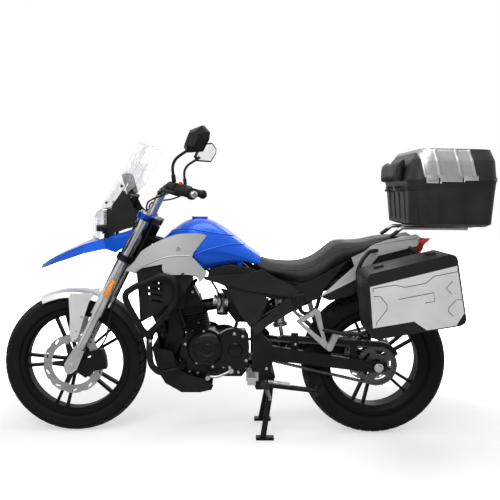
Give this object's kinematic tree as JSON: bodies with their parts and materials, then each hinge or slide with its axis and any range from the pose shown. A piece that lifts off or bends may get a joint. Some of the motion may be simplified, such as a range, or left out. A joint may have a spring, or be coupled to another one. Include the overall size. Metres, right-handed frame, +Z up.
{
  "type": "adventure motorcycle with three luggage cases",
  "caption": "Light adventure motorcycle on its centre stand, with beak, screen, crash bars, top case and panniers.",
  "frame": {"origin": "on the floor under the middle of the machine's box, on its centre plane", "axes": "+X forward, +Y to the rider's left, +Z up"},
  "size_m": [2, 0.86, 1.251],
  "materials": {
    "blue_paint": "gloss",
    "silver_paint": "gloss",
    "black_frame": "satin",
    "engine_black": "satin",
    "aluminium": "satin",
    "steel": "brushed",
    "black_plastic": "matte",
    "gloss_black": "gloss",
    "rubber": "matte",
    "tyre": "matte",
    "vinyl": "matte",
    "clear": "polished",
    "red_lens": "gloss",
    "amber_lens": "gloss"
  },
  "bodies": {
    "chassis": {"frame": "black_frame", "swingarm": "black_frame", "chain": "steel", "engine_crankcase": "engine_black", "engine_cylinder": "engine_black", "exhaust": "steel", "belly_pan": "black_plastic", "crash_bars": "black_frame", "tank": "blue_paint", "shrouds": "silver_paint", "side_cowls": "black_plastic", "seat": "vinyl", "tail_panels": "silver_paint", "tail_lower_panels": "black_plastic", "tail_lamp": "red_lens", "indicators": "amber_lens", "rear_mudguard": "black_plastic", "side_covers": "black_plastic", "luggage_rack": "black_frame", "top_case_base": "black_plastic", "pannier_base_left": "black_plastic", "pannier_base_right": "black_plastic", "cowl": "black_plastic", "headlamp": "clear", "windscreen": "clear", "beak": "blue_paint", "foot_pegs": "aluminium", "rear_shock": "steel"},
    "steering": {"fork_clamps": "black_frame", "fork_legs": "aluminium", "handlebar": "black_frame", "controls": "rubber", "mirrors": "gloss_black", "front_mudguard": "silver_paint", "front_brake": "black_frame", "cables": "rubber"},
    "front_wheel": {"front_tyre": "tyre", "front_rim": "black_frame", "front_disc": "steel"},
    "rear_wheel": {"rear_tyre": "tyre", "rear_rim": "black_frame", "rear_disc": "steel", "rear_sprocket": "steel"},
    "side_stand": {"side_stand": "black_frame"},
    "centre_stand": {"centre_stand": "black_frame"},
    "top_case_lid": {"top_case_lid": "black_plastic", "backrest_pad": "vinyl"},
    "pannier_lid_left": {"pannier_lid_left": "aluminium"},
    "pannier_lid_right": {"pannier_lid_right": "aluminium"}
  },
  "joints": [
    {"name": "steering_turn", "type": "hinge", "parent": "chassis", "child": "steering", "pos_m": [0.40952, 0, 0.81993], "axis": [-0.4384, 0, 0.8988], "range_deg": [-35, 35]},
    {"name": "front_wheel_spin", "type": "hinge", "parent": "steering", "child": "front_wheel", "pos_m": [0.704, 0, 0.296], "axis": [0, 1, 0], "continuous": true},
    {"name": "rear_wheel_spin", "type": "hinge", "parent": "chassis", "child": "rear_wheel", "pos_m": [-0.558, 0, 0.307], "axis": [0, 1, 0], "continuous": true},
    {"name": "side_stand_swing", "type": "hinge", "parent": "chassis", "child": "side_stand", "pos_m": [-0.088, 0.15, 0.24], "axis": [-0.0395, -0.9339, -0.3553], "range_deg": [0, 104.2]},
    {"name": "centre_stand_swing", "type": "hinge", "parent": "chassis", "child": "centre_stand", "pos_m": [-0.122, 0, 0.262], "axis": [0, 1, 0], "range_deg": [0, 78]},
    {"name": "top_case_lid_hinge", "type": "hinge", "parent": "chassis", "child": "top_case_lid", "pos_m": [-0.617, 0, 1.036], "axis": [0, 1, 0], "range_deg": [0, 80]},
    {"name": "pannier_left_hinge", "type": "hinge", "parent": "chassis", "child": "pannier_lid_left", "pos_m": [-0.6359, 0.322, 0.51186], "axis": [-0.9845, 0, 0.1752], "range_deg": [0, 95]},
    {"name": "pannier_right_hinge", "type": "hinge", "parent": "chassis", "child": "pannier_lid_right", "pos_m": [-0.6359, -0.322, 0.51186], "axis": [0.9845, 0, -0.1752], "range_deg": [0, 95]}
  ]
}
